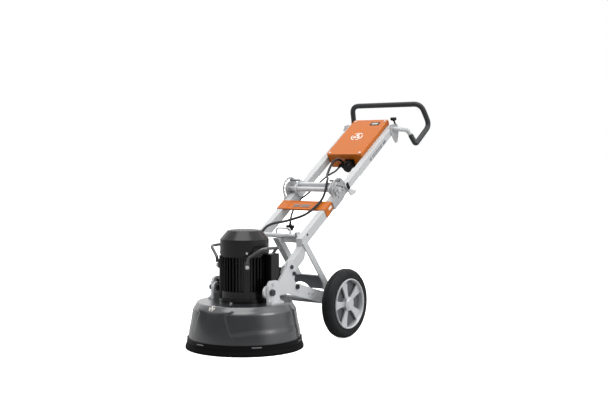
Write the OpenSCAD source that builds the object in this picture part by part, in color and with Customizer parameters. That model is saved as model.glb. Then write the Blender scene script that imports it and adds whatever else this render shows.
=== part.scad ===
// Folding single-disc-head concrete floor grinder with three planetary grinding discs.
// Millimetres. +X is to the right of a person who looks along +Y, the machine's front is -Y,
// the operator stands at +Y and the floor is z = 0. Shapes are laid out around the grinding
// head's axis, and place() moves them so that the whole machine is centred on the origin.

/* [Grinding head] */
// Outer diameter of the dust skirt at the floor
skirt_d = 490; // [485:1:495]
// Height of the shroud's flat top
shroud_top = 190; // [190:1:192]
// Diameter of each grinding disc
disc_d = 200; // [180:1:200]
// Number of grinding discs
disc_count = 3; // [3:1:3]
// Module of the planetary gears
gear_module = 4; // [4:1:4]

/* [Motor] */
// Outer diameter over the cooling fins
motor_d = 196; // [190:1:198]
// Number of cooling fins
fin_count = 40; // [24:4:48]
// Top of the fan cowl
cowl_top = 483; // [478:1:490]
// Outer diameter of the fan cowl
cowl_d = 202; // [201:1:206]

/* [Frame] */
// Tilt of the frame rails from the horizontal, degrees
rail_tilt = 34.4; // [34:0.1:35]
// Overall width across the two rails
rail_span = 260; // [258:1:262]
// Width of one rail
rail_w = 31; // [30:1:32]
// Height of the head's tilt pivot
tilt_z = 237; // [236:1:240]

/* [Wheels] */
// Wheel diameter
wheel_d = 300; // [296:1:304]
// Tyre width
tyre_w = 55; // [50:1:56]
// Overall width across both tyres
track_outer = 502; // [500:1:510]
// Number of spokes
spoke_count = 5; // [5:1:6]

/* [Control box] */
// Width of the lid
lid_w = 196; // [190:1:196]
// Length of the lid along the rails
lid_l = 297; // [290:1:300]
// Depth of the box with its lid
box_depth = 75; // [70:1:78]

/* [Handle] */
// Diameter of the handle's steel tube
bar_d = 22; // [22:1:22]
// Outside diameter of the grip sleeve
grip_d = 27; // [26:1:29]

/* [Hidden] */
$fn = 96;

// Y of the middle of the machine, between the skirt's front and the grip's rear.
rear_reach = 1159.4;
mid_y = (rear_reach - skirt_d / 2) / 2;

// Running clearance of a shaft in its hole, and the gap left between moving bodies.
run = 0.05;
gap = 0.3;

// Rails. Their front faces pass through the point (rail_y, rail_z).
rail_y = 475;
rail_z = 600;
rail_out = rail_span / 2;
rail_in = rail_out - rail_w;
rail_wall = 2.5;
upper_depth = 33;
// The upper rails sit this much further in, clear of the fold plates.
rail_step = 1;
upper_in = rail_in - rail_step;
upper_out = rail_out - rail_step;
lower_proud = 8;
rail_top = 596;
lower_from = -300;

// Fold joint, in rail coordinates: s along the rail, n out of its front face.
fold_s = 36;
fold_n = 22;
fold_r = 12;
fold_disc_r = 54;
bridge_from = -99;
bridge_l = 61;
lever_s = 92;
lever_n = -14;
screw_s = 614;
screw_x = 128;
fold_plate_t = 7;
leg_t = 6;
strut_w = 30;
lever_x = rail_out + fold_plate_t + 1;
lock_turn = 50;
fold_range = 140;
lock_path_r = 40;
lock_pin_r = 5;
tube_s = 58;
tube_n = 33;
tube_r = 10;
ear_t = 8;

// Head tilt pivot and the plates on it.
tilt_y = -19;
tilt_r = 8;
plate_t = 10;
ear_in = rail_out + plate_t + 2;
ear_plate_t = 13;
leg_bolts = [[136, 326], [151, 298]];
stop_bolt = [175, 240];

// Wheels and axle.
axle_y = 411;
axle_z = wheel_d / 2;
axle_r = 10;
rim_r = 107;
wheel_out = track_outer / 2;
wheel_in = wheel_out - tyre_w;
bearing_r = 21;
bearing_w = 14;

// Shroud.
shroud_wall = 4;
port_r = 25;
port_z = 86;

// Motor levels.
body_z = 206;
fin_z = 236;
cowl_z = 387;
cone_z = 447;
cone_r = 69;
motor_r = motor_d / 2;
core_r = 84;
stator_r = 76;
rotor_r = 49.6;
shaft_r = 14;
pad_turns = [45, 135, 225, 315];
pad_w = 26;
shield_z = cowl_z - 7;
cross_y = 246;
cross_z = 445;

// Planetary gears: a fixed ring, three planets and the motor's pinion.
sun_teeth = 18;
planet_teeth = 42;
ring_teeth = sun_teeth + 2 * planet_teeth;
sun_r = gear_module * sun_teeth / 2;
planet_r = gear_module * planet_teeth / 2;
ring_r = gear_module * ring_teeth / 2;
orbit_r = sun_r + planet_r;
gear_z = 98;
gear_t = 20;
planet_turns = [90, 210, 330];

// Control box, in rail coordinates.
box_s = 320;
lid_n = 19;
lid_t = 18;
box_w = lid_w - 4;
lid_screws = [for (x = [-1, 1], s = [14, lid_l - 14]) [x * (lid_w / 2 - 14), box_s + s]];
box_wall = 2.5;
control_n = -24;
stop_x = -40;
start_x = 10;
inlet_x = 24;
cap_y = 26;
cap_z = 34.5;
inlet_n = -33;
motor_gland_x = -19;
motor_gland_n = -45;
mains_gland_x = -40;
mains_gland_n = -45;
gland_r = 9;

// Handle bow: its stubs turn in the rails' top ends.
bow_y = 962;
bow_z = 918;
bar_r = bar_d / 2;
bar_wall = 2;
grip_r = grip_d / 2;
bow_half = [
    [100, bow_y, bow_z], [148, bow_y, bow_z], [168, 1036, 915], [181, 1040, 891], [206, 1047, 846],
    [220, 1156, 940], [200, 1106, 1042], [0, 1106, 1042]];
bow_trims = [0, 13.5, 20, 0, 14, 34, 40, 0];
grip_skip = 11;

// Cables.
motor_cable_r = 5.5;
mains_r = 4;
motor_cable_pts = [
    [-19, 748.7, 753.5], [-19, 743.3, 761.3], [-21, 734, 768.5], [-24, 718, 771.5], [-28, 700, 768],
    [-30, 684, 757], [-29, 668, 743], [-24, 648, 728], [-14, 626, 716], [-2, 602, 706],
    [14, 576, 698], [32, 552, 692], [50, 529, 687], [64, 507, 682.5], [74, 488, 669],
    [79, 474, 647], [82, 460, 625], [83, 443, 603], [84, 418, 584], [82, 391, 566],
    [74, 365, 548], [62, 343, 534], [46, 320, 523], [30, 296, 515], [18, 268, 508],
    [9, 240, 504], [-1, 212, 501], [-12, 184, 494], [-19, 161, 481], [-23, 143, 462],
    [-22, 130, 438], [-13, 121, 414], [8, 118, 393], [32, 116, 370], [32, 116, 345]];
mains_pts = [
    [-40, 750.8, 734.3], [-40, 743, 729], [-40, 730, 720.8], [-41, 712, 713], [-42, 690, 706],
    [-43, 664, 697], [-44, 638, 685], [-45, 612, 672], [-46, 586, 657], [-47, 560, 642],
    [-48, 535, 628], [-49, 512, 617], [-49, 490, 607], [-50, 467, 598], [-50, 447, 584.4],
    [-50, 426, 569.5], [-50, 407, 551], [-50, 393, 530], [-50, 384, 509], [-50, 381, 492]];

// ---------------------------------------------------------------- helpers

// Moves a shape laid out around the head's axis into the machine's own frame.
module place() translate([0, -mid_y, 0]) children();

// Rail coordinates: X across, Y along the rail towards the operator, Z out of its front face.
module on_rail() translate([0, rail_y, rail_z]) rotate([rail_tilt, 0, 0]) children();

// The shape and its mirror image across the machine's middle plane.
module both_sides() {
    children();
    mirror([1, 0, 0]) children();
}

// The right-hand shape for side 1, or its mirror image for side -1.
module on_side(side) {
    if (side > 0) children();
    else mirror([1, 0, 0]) children();
}

// A plate across X from x0, from a flat outline in (y, z).
module plate_x(x0, t) translate([x0, 0, 0]) rotate([90, 0, 90]) linear_extrude(t) children();

// A cylinder along X through (y, z), from x0 to x1.
module rod_x(x0, x1, y, z, r) translate([x0, y, z]) rotate([0, 90, 0]) cylinder(r = r, h = x1 - x0);

// A hexagonal bolt head or nut along X.
module hex_x(x0, y, z, r, h) translate([x0, y, z]) rotate([0, 90, 0]) cylinder(r = r, h = h, $fn = 6);

// Copies spaced evenly round the Z axis.
module around(n, first = 0) for (i = [0 : n - 1]) rotate([0, 0, first + i * 360 / n]) children();

// Points of an arc about (x, y), from one angle to the other.
function arc(x, y, r, from, to, steps = 12) = [
    for (i = [0 : steps]) let (a = from + (to - from) * i / steps) [x + r * cos(a), y + r * sin(a)]];

// A flat ring on the Z axis, from z0 up.
module ring(z0, h, r, bore) translate([0, 0, z0]) difference() {
    cylinder(r = r, h = h);
    translate([0, 0, -1]) cylinder(r = bore, h = h + 2);
}

function unit(v) = v / norm(v);

// Points of a path with its corners rounded by a parabola that starts trims[i] before each one.
function rounded(p, trims, steps = 4) = [
    for (i = [0 : len(p) - 1])
        if (trims[i] == 0) p[i]
        else
            let (a = p[i] + unit(p[i - 1] - p[i]) * trims[i], b = p[i] + unit(p[i + 1] - p[i]) * trims[i])
            for (k = [0 : steps]) let (t = k / steps)
                (1 - t) * (1 - t) * a + 2 * t * (1 - t) * p[i] + t * t * b];

function tangent(p, i) = unit(p[min(i + 1, len(p) - 1)] - p[max(i - 1, 0)]);
function square_to(v, t) = unit(v - (v * t) * t);

// A direction square to the path at each of its points, carried along without twisting.
function side_directions(p, first) = [
    for (i = 0, v = square_to(first, tangent(p, 0)); i < len(p);
        i = i + 1, v = square_to(v, tangent(p, min(i, len(p) - 1)))) v];

// All the rings of a swept tube, one after the other.
function rings(p, r, sides, first) =
    let (across = side_directions(p, first))
    [for (i = [0 : len(p) - 1]) let (a = across[i], b = cross(tangent(p, i), a))
        for (k = [0 : sides - 1]) p[i] + r * (cos(k * 360 / sides) * a + sin(k * 360 / sides) * b)];

// A solid round bar swept along a path; first is square to the path's start.
module sweep(p, r, sides, first) {
    n = len(p);
    skin = [for (i = [0 : n - 2], k = [0 : sides - 1])
        let (a = i * sides + k, b = i * sides + (k + 1) % sides)
        each [[a, b + sides, b], [a, a + sides, b + sides]]];
    polyhedron(rings(p, r, sides, first), concat(
        [[for (k = [0 : sides - 1]) k]], skin,
        [[for (k = [0 : sides - 1]) n * sides - 1 - k]]), convexity = 8);
}

// A hollow tube swept along a path.
module sweep_tube(p, r, bore, sides, first) {
    n = len(p);
    m = n * sides;
    skin = [for (i = [0 : n - 2], k = [0 : sides - 1])
        let (a = i * sides + k, b = i * sides + (k + 1) % sides)
        each [[a, b + sides, b], [a, a + sides, b + sides],
              [m + a, m + b, m + b + sides], [m + a, m + b + sides, m + a + sides]]];
    caps = [for (k = [0 : sides - 1])
        let (c = (k + 1) % sides, e = (n - 1) * sides)
        each [[k, m + c, m + k], [k, c, m + c], [e + k, m + e + c, e + c], [e + k, m + e + k, m + e + c]]];
    polyhedron(concat(rings(p, r, sides, first), rings(p, bore, sides, first)), concat(skin, caps),
        convexity = 10);
}

// Outline of a spur gear. Flanks are straight from root to tip; lift > 0 is an outside gear.
function tooth_angle(pitch_r, thickness) = thickness / pitch_r * 180 / PI / 2;
function gear_points(teeth, pitch_r, tip, root, half_tip, half_root) = [
    for (i = [0 : teeth - 1]) let (a = i * 360 / teeth)
        each [
            (pitch_r + root) * [cos(a - half_root), sin(a - half_root)],
            (pitch_r + tip) * [cos(a - half_tip), sin(a - half_tip)],
            (pitch_r + tip) * [cos(a + half_tip), sin(a + half_tip)],
            (pitch_r + root) * [cos(a + half_root), sin(a + half_root)]]];

module gear_outline(teeth, pitch_r, inside = false) {
    dir = inside ? -1 : 1;
    polygon(gear_points(teeth, pitch_r, dir * 0.75 * gear_module, -dir * 1.15 * gear_module,
        tooth_angle(pitch_r, 0.62 * gear_module), tooth_angle(pitch_r, 1.6 * gear_module)));
}

// ---------------------------------------------------------------- chassis

// Side view of the leg under each lower rail, from the knee down to the side plate.
module leg_outline() polygon([
    [245, 450], [223.5, 436], [224, 404], [211, 388], [182, 366], [156, 347], [124, 328], [112, 300],
    [140, 282], [180, 296], [196, 318], [220, 334], [243, 352], [250, 378], [258, 409], [270, 425]]);

module lower_rail(side) color("gainsboro") place() on_side(side) difference() {
    union() {
        on_rail() translate([rail_in, lower_from, -upper_depth])
            cube([rail_w, fold_s - lower_from - gap / 2, upper_depth + lower_proud]);
        plate_x(rail_in, rail_w) leg_outline();
    }
    on_rail() translate([rail_in + rail_wall, lower_from + 60, -upper_depth + rail_wall])
        cube([rail_w - 2 * rail_wall, fold_s - lower_from, upper_depth + lower_proud - 2 * rail_wall]);
}

// Side plate: a triangle up to the leg, an ear round the tilt pivot and an arm to the axle.
module side_outline() difference() {
    polygon(concat(
        [[44, 266], [61, 283], [102, 326], [116, 350], [124, 357], [136, 357], [147, 350], [175, 317],
            [163, 303], [157, 270], [168, 256], [190, 252], [293, 220], [361, 202]],
        arc(axle_y + 12, axle_z + 5, 31, 75, -113),
        [[353, 153], [274, 174], [116, 217], [44, 216]],
        arc(tilt_y, tilt_z, 26, -90, -270)));
    translate([tilt_y, tilt_z]) circle(r = tilt_r);
    translate([axle_y, axle_z]) circle(r = 12.5);
    for (p = leg_bolts) translate(p) circle(r = 5);
    translate(stop_bolt) circle(r = 6);
    translate([262, 200]) circle(r = 5);
    translate([292, 196]) circle(r = 5);
}

module side_plate(side) color("whitesmoke") place() on_side(side)
    plate_x(rail_out, plate_t) side_outline();

// Braces from the knees back down to the arms.
module frame_braces() color("gainsboro") place() {
    both_sides() plate_x(rail_out, leg_t) polygon([
        [223, 417], [240, 435], [268, 407], [413, 234], [413, 189.9], [384, 196.9], [373, 235]]);
    difference() {
        plate_x(-20, strut_w) polygon([[213, 434.9], [249, 434.9], [386.7, 266.1], [350.8, 266.1]]);
        plate_x(-17, strut_w - 6) polygon([[222, 431], [245.6, 431], [377.7, 269], [354.2, 269]]);
    }
}

// Round tube between the rails, with its hanging plate and the lifting eye welded on top.
module front_cross_member() color("silver") place() {
    rod_x(-rail_in, rail_in, cross_y, cross_z, 10);
    translate([12, cross_y - 4, cross_z - 28]) cube([84, 6, 22]);
    sweep(rounded([[-22, cross_y, cross_z + 6], [-22, cross_y, cross_z + 32],
        [51, cross_y, cross_z + 32], [51, cross_y, cross_z + 6]], [0, 12, 12, 0]), 4, 10, [0, 1, 0]);
    hex_x(84, cross_y, cross_z + 10, 13, 12);
}

// Cross plate over the axle, with an arched lower edge and a turned top edge.
module rear_cross_member() color("silver") place() {
    difference() {
        translate([-rail_out, 392, 206]) cube([2 * rail_out, 5, 60]);
        translate([0, 391, 168]) rotate([-90, 0, 0]) cylinder(r = 62, h = 7);
    }
    translate([-rail_out, 368, 261]) cube([2 * rail_out, 29, 5]);
}

// Pressed cover that ties the two lower rails together and wraps their outer sides.
module bridge_cover() color("darkorange") place() on_rail() {
    difference() {
        translate([-rail_out - 3, bridge_from, lower_proud]) cube([rail_span + 6, bridge_l, 3]);
        translate([-rail_in + 20, bridge_from + 6, lower_proud + 1.8])
            cube([2 * rail_in - 40, bridge_l - 12, 3]);
    }
    translate([-rail_in + 2, bridge_from, lower_proud - 5]) cube([2 * rail_in - 4, 3, 6]);
    both_sides() plate_x(rail_out, 3) polygon([
        [bridge_from, lower_proud + 0.1], [bridge_from - 2, -31], [bridge_from + 54, -26],
        [bridge_from + bridge_l, lower_proud + 0.1]]);
}

// Turn of the lock pins round the fold pivot, from the rail's own direction.
module at_fold(turn) translate([0, fold_s, fold_n]) rotate([turn, 0, 0]) children();

// Discs that carry the fold pivot, with the lock pins' slot and its locking notches.
module fold_plate_outline() difference() {
    union() {
        translate([fold_s, fold_n]) circle(r = fold_disc_r);
        polygon([[-37, -upper_depth], [fold_s - 1, -upper_depth], [fold_s, fold_n - 50], [fold_s, fold_n],
            [fold_s - 50, fold_n], [-37, 6]]);
    }
    translate([fold_s, fold_n]) {
        circle(r = fold_r + run);
        difference() {
            circle(r = lock_path_r + lock_pin_r + 0.4);
            circle(r = lock_path_r - lock_pin_r - 0.4);
            polygon([[0, 0], 90 * [cos(lock_turn), sin(lock_turn)], [90, -20], [90, -90],
                [-90, -90], 90 * [cos(lock_turn + fold_range), sin(lock_turn + fold_range)]]);
        }
        for (k = [0 : 20 : fold_range]) rotate(lock_turn + k)
            translate([lock_path_r + 2, 0]) square([15, 2 * lock_pin_r + 0.8], center = true);
        for (k = [0, fold_range]) rotate(lock_turn + k) translate([lock_path_r, 0])
            circle(r = lock_pin_r + 0.4);
    }
}

module fold_plates() color("silver") place() both_sides() on_rail()
    plate_x(rail_out, fold_plate_t) fold_plate_outline();

module axle() color("dimgray") place() {
    rod_x(-rail_out - plate_t - 12, rail_out + plate_t + 12, axle_y, axle_z, 12.5);
    rod_x(-wheel_out + 9, wheel_out - 9, axle_y, axle_z, axle_r);
}

module wheel_bearings() color("silver") place() both_sides()
    for (x = [wheel_in + 3, wheel_out - 8 - bearing_w]) difference() {
        rod_x(x, x + bearing_w, axle_y, axle_z, bearing_r - run);
        rod_x(x - 1, x + bearing_w + 1, axle_y, axle_z, axle_r);
    }

// Tilt pivot bolts, and the bolts that hold the side plates to the legs.
module chassis_bolts() color("silver") place() both_sides() {
    rod_x(rail_out - 6, ear_in + ear_plate_t + 4, tilt_y, tilt_z, tilt_r);
    rod_x(rail_out - 8, rail_out, tilt_y, tilt_z, 13);
    hex_x(ear_in + ear_plate_t + 1, tilt_y, tilt_z, 14, 12);
    for (p = leg_bolts) {
        hex_x(rail_out + plate_t, p[0], p[1], 9, 6);
        rod_x(rail_out, rail_out + plate_t, p[0], p[1], 5);
    }
    hex_x(rail_out + plate_t, stop_bolt[0], stop_bolt[1], 11, 8);
    rod_x(rail_out - 12, rail_out + plate_t, stop_bolt[0], stop_bolt[1], 6);
}

// ---------------------------------------------------------------- wheels

module wheel_at() translate([wheel_in, axle_y, axle_z]) rotate([0, 90, 0]) children();

module tyre(side) color("black") place() on_side(side) wheel_at() rotate_extrude() polygon([
    [rim_r, 4], [rim_r + 3, 3], [122, 1], [132, 0], [141, 4], [147, 11], [wheel_d / 2, 19],
    [wheel_d / 2, 23], [wheel_d / 2 - 2, 24], [wheel_d / 2 - 2, 31], [wheel_d / 2, 32],
    [wheel_d / 2, tyre_w - 19], [147, tyre_w - 11], [141, tyre_w - 4], [132, tyre_w],
    [122, tyre_w - 1], [rim_r + 3, tyre_w - 3], [rim_r, tyre_w - 4]]);

// Cast wheel centre: hub, spokes that widen towards the rim, and the rim's barrel.
module wheel_rim(side) color("silver") place() on_side(side) wheel_at() {
    rotate_extrude() polygon([
        [102, 6], [rim_r, 6], [rim_r, tyre_w - 5], [rim_r + 1.5, tyre_w - 2.5], [rim_r - 2, tyre_w - 1],
        [102, tyre_w - 5]]);
    ring(tyre_w - 30, 4.1, 103, 28);
    translate([0, 0, tyre_w - 17]) linear_extrude(7) around(spoke_count, 270)
        polygon([[26, -10], [60, -13], [103, -24], [103, 24], [60, 13], [26, 10]]);
    translate([0, 0, tyre_w - 26]) linear_extrude(10) around(spoke_count, 270)
        translate([26, -4]) square([77, 8]);
    difference() {
        translate([0, 0, 2]) cylinder(r = 30, h = tyre_w - 3);
        translate([0, 0, 1]) cylinder(r = bearing_r, h = tyre_w - 8);
    }
    translate([0, 0, tyre_w - 2]) cylinder(r1 = 26, r2 = 21, h = 5);
}

// ---------------------------------------------------------------- grinding head

// Half section of the shroud's outer surface, from the top down.
shroud_curve = [
    [192, 190], [199, 188.5], [205, 184.5], [210, 178.5], [213.5, 171], [216, 160], [223, 118],
    [228.5, 73], [232, 42]];
function inset(p) = [p[0] - shroud_wall, p[1] - (p[1] > 180 ? shroud_wall : 0)];

module shroud_cover() color("dimgray") place() difference() {
    rotate_extrude() polygon(concat(
        [[60, shroud_top]], shroud_curve,
        [for (i = [len(shroud_curve) - 1 : -1 : 0]) inset(shroud_curve[i])],
        [[60, shroud_top - shroud_wall]]));
    port_at() cylinder(r = port_r, h = 60);
}

// Band and flared rubber skirt that float up and down round the shroud's lower edge.
module dust_skirt() color("black") place() rotate_extrude() polygon([
    [skirt_d / 2 - 9, 0], [skirt_d / 2, 0], [skirt_d / 2, 8], [skirt_d / 2 - 3, 13], [239, 24],
    [237.5, 30], [237.5, 44], [232.9, 44], [232.9, 26]]);

// Cast housing under the shroud's top, with the fixed ring gear on its lower rim.
module planet_housing() color("darkgray") place() {
    difference() {
        rotate_extrude() polygon([
            [58, 150], [82, 150], [90, 172], [190, 172], [190, 126], [210, 126], [210, gear_z - 1],
            [216, gear_z - 1], [216, 130], [200, 142], [196, 176], [185, 186], [58, 186]]);
    }
    translate([0, 0, gear_z - 1]) linear_extrude(gear_t + 2) difference() {
        circle(r = 211);
        gear_outline(ring_teeth, ring_r, inside = true);
    }
}

module motor_housing() color("black") place() difference() {
    union() {
        translate([0, 0, body_z]) cylinder(r = core_r, h = shield_z - body_z);
        translate([0, 0, body_z]) cylinder(r = motor_r, h = fin_z - body_z);
        translate([0, 0, shield_z - 4]) cylinder(r = motor_r - 2, h = 4);
        for (turn = pad_turns) rotate([0, 0, turn]) translate([core_r - 6, -pad_w / 2, body_z])
            cube([104 - core_r + 6, pad_w, shield_z - body_z]);
        for (i = [0 : fin_count - 1]) let (turn = 2 + i * 360 / fin_count)
            if (abs(turn % 90 - 45) > 10) rotate([0, 0, turn]) translate([core_r - 2, -1.5, fin_z - 1])
                cube([motor_r - 0.5 - core_r + 2, 3, shield_z - 2 - fin_z]);
    }
    translate([0, 0, body_z - 1]) cylinder(r = stator_r, h = 200);
}

module motor_stator() color("peru") place() translate([0, 0, 240]) difference() {
    cylinder(r = stator_r, h = 115);
    translate([0, 0, -1]) cylinder(r = rotor_r + 0.8, h = 117);
}

// Lower flange that bolts to the shroud, and the upper end shield inside the cowl.
module motor_end_shields() color("black") place() {
    difference() {
        union() {
            translate([0, 0, shroud_top]) cylinder(r = 104, h = body_z - shroud_top);
            translate([0, 0, shroud_top - 4]) cylinder(r = 60, h = 5);
        }
        translate([0, 0, shroud_top - 20]) cylinder(r = shaft_r + 2, h = 60);
        translate([0, 0, body_z - 14]) cylinder(r = 31, h = 20);
    }
    translate([0, 0, shield_z]) difference() {
        cylinder(r = motor_r, h = 15);
        translate([0, 0, -1]) cylinder(r = shaft_r + 2, h = 20);
        translate([0, 0, -1]) cylinder(r = 28, h = 13);
    }
}

module head_bearings() color("silver") place() {
    ring(150, 14, 58, 50 + run);
    ring(body_z - 14, 14, 31, shaft_r + run);
    ring(shield_z, 12, 28, shaft_r + run);
}

// Sheet-metal fan cowl with a grille of ring slots in its top.
module fan_cowl() color("black") place() difference() {
    rotate_extrude() polygon([
        [cowl_d / 2 - 2.5, cowl_z - 3], [cowl_d / 2, cowl_z - 3], [cowl_d / 2, cone_z],
        [cone_r + 2, cowl_top - 1], [cone_r, cowl_top], [0, cowl_top], [0, cowl_top - 2.5],
        [cone_r - 1, cowl_top - 2.5], [cowl_d / 2 - 2.5, cone_z - 1]]);
    for (r = [20 : 11 : 53]) difference() {
        translate([0, 0, cowl_top - 6]) difference() {
            cylinder(r = r + 6, h = 10);
            translate([0, 0, -1]) cylinder(r = r, h = 12);
        }
        translate([0, 0, cowl_top - 7]) linear_extrude(12) around(2)
            square([140, 7], center = true);
        translate([0, 0, cowl_top - 7]) linear_extrude(12) rotate(90)
            square([140, 7], center = true);
    }
}

// Capacitor box at the motor's right, and the terminal box behind it with the cable's gland.
module terminal_box() color("black") place() {
    difference() {
        union() {
            translate([88, 14, 262]) cube([37, 58, 126]);
            translate([125, 17, 266]) cube([3, 52, 118]);
            translate([14, 60, 262]) cube([84, 66, 62]);
        }
        cylinder(r = 105, h = 500);
    }
    translate([32, 116, 323]) cylinder(r = 9, h = 8, $fn = 6);
    translate([32, 116, 330]) cylinder(r = 7.5, h = 14.7);
}

// Bent round bars bolted to the motor's pads, one on each side.
lift_path = [
    [80, -80, 352], [80, -80, 374], [138, -52, 415], [152, 40, 415], [90, 98, 404], [80, 80, 374],
    [80, 80, 352]];
module lifting_handles() color("dimgray") place() both_sides() {
    sweep(rounded(lift_path, [0, 14, 22, 26, 14, 10, 0]), 6.5, 12, [1, 0, 0]);
    for (turn = [-45, 45]) rotate([0, 0, turn]) translate([104, -10, 328]) cube([7, 20, 38]);
}

// Bolted ears that carry the head on the frame's tilt pivot.
module ear_outline() difference() {
    polygon([[-34, shroud_top], [-34, 262], [-28, 275], [-16, 283], [20, 283], [31, 276], [35, 262],
        [36, 214], [44, 198], [60, shroud_top]]);
    translate([tilt_y, tilt_z]) circle(r = tilt_r + run);
}

module ear_plates() color("silver") place() both_sides() {
    plate_x(ear_in, ear_plate_t) ear_outline();
    translate([ear_in + ear_plate_t - 1, -34, shroud_top]) cube([16, 80, 7]);
}

// Spigot for the vacuum hose, low on the shroud's rear wall.
module port_at() translate([0, 200, port_z]) rotate([-90, 0, 0]) children();
module dust_port() color("black") place() port_at() difference() {
    union() {
        translate([0, 0, 24]) cylinder(r = port_r, h = 66);
        translate([0, 0, 30]) cylinder(r = port_r + 4, h = 6);
    }
    translate([0, 0, 20]) cylinder(r = port_r - 4, h = 80);
}

module head_bolts() color("silver") place() {
    for (turn = pad_turns) rotate([0, 0, turn]) translate([111, 0, 340]) rotate([0, 90, 0])
        cylinder(r = 8, h = 6, $fn = 6);
    for (turn = pad_turns) rotate([0, 0, turn])
        translate([cowl_d / 2, 0, cowl_z + 8]) rotate([0, 90, 0]) cylinder(r = 4.5, h = 2.5);
    both_sides() for (y = [-24, 34])
        translate([ear_in + ear_plate_t + 8, y, shroud_top + 7]) cylinder(r = 6, h = 5, $fn = 6);
    both_sides() translate([ear_in + ear_plate_t, -10, 270]) rotate([0, 90, 0])
        cylinder(r = 7, h = 5, $fn = 6);
    for (turn = [10, 100, 190, 280]) rotate([0, 0, turn]) translate([112, 0, shroud_top])
        cylinder(r = 5, h = 5, $fn = 6);
}

// ---------------------------------------------------------------- drive inside the head

// Rotor, shaft and the pinion cut on the shaft's lower end.
module motor_shaft() color("silver") place() {
    translate([0, 0, 122]) cylinder(r = shaft_r, h = 318);
    translate([0, 0, 242]) cylinder(r = rotor_r, h = 111);
    translate([0, 0, gear_z]) linear_extrude(gear_t) gear_outline(sun_teeth, sun_r);
    translate([0, 0, gear_z + gear_t]) cylinder(r = 22, h = 6);
}

module cooling_fan() color("dimgray") place() translate([0, 0, 398]) {
    difference() {
        cylinder(r = 26, h = 46);
        translate([0, 0, -1]) cylinder(r = shaft_r, h = 48);
    }
    difference() {
        cylinder(r = 88, h = 3);
        translate([0, 0, -1]) cylinder(r = 20, h = 6);
    }
    linear_extrude(40) around(9) translate([24, -1.5]) square([62, 3]);
}

// Carrier: lower disc, three pillars and an upper plate that hangs on the housing's boss.
module planet_carrier() color("gray") place() {
    difference() {
        union() {
            translate([0, 0, 72]) cylinder(r = 206, h = 20);
            around(disc_count, 30) translate([150, 0, 90]) cylinder(r = 20, h = 40);
            translate([0, 0, 128]) cylinder(r = 175, h = 14);
            translate([0, 0, 140]) cylinder(r = 50, h = 26);
        }
        around(disc_count, planet_turns[0]) translate([orbit_r, 0, 70]) cylinder(r = 36, h = 24);
        around(disc_count, planet_turns[0]) translate([orbit_r, 0, 126]) cylinder(r = 30, h = 20);
        translate([0, 0, 126]) cylinder(r = 30, h = 60);
    }
}

module spindle_bearings() color("silver") place()
    around(disc_count, planet_turns[0]) translate([orbit_r, 0, 0]) {
        ring(72, 20, 36, 18 + run);
        ring(128, 14, 30, 15 + run);
    }

module at_planet(k) place() rotate([0, 0, planet_turns[k]]) translate([orbit_r, 0, 0])
    rotate([0, 0, -planet_turns[k]]) children();

// Spindle with its planet gear and the flange that drives a grinding disc.
module planet_spindle(k) color("lightgray") at_planet(k) {
    translate([0, 0, 60]) cylinder(r = 18, h = 36);
    translate([0, 0, 94]) cylinder(r = 26, h = 5);
    translate([0, 0, gear_z]) linear_extrude(gear_t) rotate(180 / planet_teeth)
        gear_outline(planet_teeth, planet_r);
    translate([0, 0, gear_z + gear_t - 1]) cylinder(r = 22, h = 8);
    translate([0, 0, 120]) cylinder(r = 15, h = 24);
    translate([0, 0, 44]) cylinder(r = 52, h = 18);
}

// Tool plate with its diamond shoes underneath.
module grinding_disc(k) color("firebrick") at_planet(k) {
    difference() {
        translate([0, 0, 22]) cylinder(r = disc_d / 2, h = 22);
        translate([0, 0, 20]) cylinder(r = 26, h = 26);
    }
    around(6, 15) translate([76, 0, 0]) rotate([0, 0, 8]) translate([-11, -17, 0]) cube([22, 34, 22]);
}

// ---------------------------------------------------------------- upper frame

module upper_rail(side) color("gainsboro") place() on_side(side) difference() {
    on_rail() translate([upper_in, fold_s + gap / 2, -upper_depth])
        cube([rail_w, rail_top - fold_s, upper_depth]);
    on_rail() translate([upper_in + rail_wall, fold_s - 1, -upper_depth + rail_wall])
        cube([rail_w - 2 * rail_wall, rail_top - fold_s - 44, upper_depth - 2 * rail_wall]);
    rod_x(upper_in - 1, upper_out + 1, bow_y, bow_z, bar_r + run);
}

// Ears on the upper rails' inner faces that reach forward to the fold pivot.
module fold_ear_outline() difference() {
    polygon(concat([[fold_s + 1, -28], [118, -28], [118, -4], [78, 44]], arc(fold_s, fold_n, 21, 80, 215)));
    translate([fold_s, fold_n]) circle(r = fold_r);
    translate([tube_s, tube_n]) circle(r = tube_r);
    for (r = [lock_path_r, lock_path_r + 3])
        translate([fold_s + r * cos(lock_turn), fold_n + r * sin(lock_turn)]) circle(r = lock_pin_r + 0.4);
}

module fold_ears() color("silver") place() both_sides() on_rail()
    plate_x(upper_in - ear_t, ear_t) fold_ear_outline();

// Pivot tube of the fold joint and the second tube beside it.
module fold_tubes() color("silver") place() on_rail() {
    rod_x(-rail_out - fold_plate_t - 4, rail_out + fold_plate_t + 4, fold_s, fold_n, fold_r);
    rod_x(-upper_in, upper_in, tube_s, tube_n, tube_r);
    translate([-upper_in + ear_t, 96, -24]) cube([2 * (upper_in - ear_t), 26, 4]);
}

// Folded sheet-metal box, open at its front under the lid.
module round_plate(w, l, r) translate([-w / 2, 0]) polygon(concat(arc(w - r, l - r, r, 0, 90, 4),
    arc(r, l - r, r, 90, 180, 4), arc(r, r, r, 180, 270, 4), arc(w - r, r, r, 270, 360, 4)));

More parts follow.
